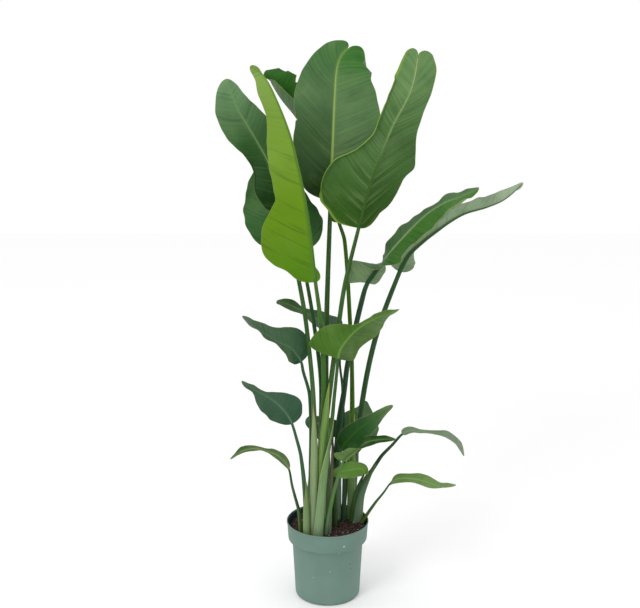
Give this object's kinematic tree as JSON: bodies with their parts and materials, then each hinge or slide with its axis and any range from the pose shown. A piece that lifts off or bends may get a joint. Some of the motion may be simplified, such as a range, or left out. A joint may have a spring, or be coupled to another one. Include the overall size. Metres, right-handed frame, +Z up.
{
  "type": "potted bird of paradise plant",
  "caption": "Young bird of paradise house plant with long-stalked, paddle-shaped green leaves, growing from dark soil in a round teal-green nursery pot.",
  "frame": {"origin": "centre of the pot's underside, on the surface that it stands on", "axes": "+Z up along the pot's axis; -Y is the front that the picture shows; +X to its right"},
  "size_m": [0.7961, 0.3829, 1.4325],
  "materials": {
    "pot": "matte",
    "soil": "matte",
    "stalk": "satin",
    "leaf": "satin",
    "dark_leaf": "satin",
    "pale_leaf": "satin",
    "young_leaf": "satin"
  },
  "bodies": {
    "root": {"pot": "pot", "soil": "soil", "stalk_centre_top": "stalk", "blade_centre_top": "leaf", "stalk_right_top": "stalk", "blade_right_top": "leaf", "stalk_bright_new": "stalk", "blade_bright_new": "young_leaf", "stalk_left_top": "stalk", "blade_left_top": "dark_leaf", "stalk_left_behind": "stalk", "blade_left_behind": "dark_leaf", "stalk_back_top": "stalk", "blade_back_top": "dark_leaf", "stalk_right_mid": "stalk", "blade_right_mid": "leaf", "stalk_right_far": "stalk", "blade_right_far": "pale_leaf", "stalk_small_back": "stalk", "blade_small_back": "dark_leaf", "stalk_left_mid": "stalk", "blade_left_mid": "dark_leaf", "stalk_centre_mid": "stalk", "blade_centre_mid": "leaf", "stalk_left_low": "stalk", "blade_left_low": "dark_leaf", "stalk_left_lowest": "stalk", "blade_left_lowest": "pale_leaf", "stalk_centre_low": "stalk", "blade_centre_low": "dark_leaf", "stalk_back_low_right": "stalk", "blade_back_low_right": "pale_leaf", "stalk_centre_low_pale": "stalk", "blade_centre_low_pale": "pale_leaf", "stalk_low_bright": "stalk", "blade_low_bright": "leaf", "stalk_right_low": "stalk", "blade_right_low": "pale_leaf", "stalk_right_lowest": "stalk", "blade_right_lowest": "pale_leaf", "stalk_back_low_left": "stalk", "blade_back_low_left": "dark_leaf"}
  },
  "joints": []
}
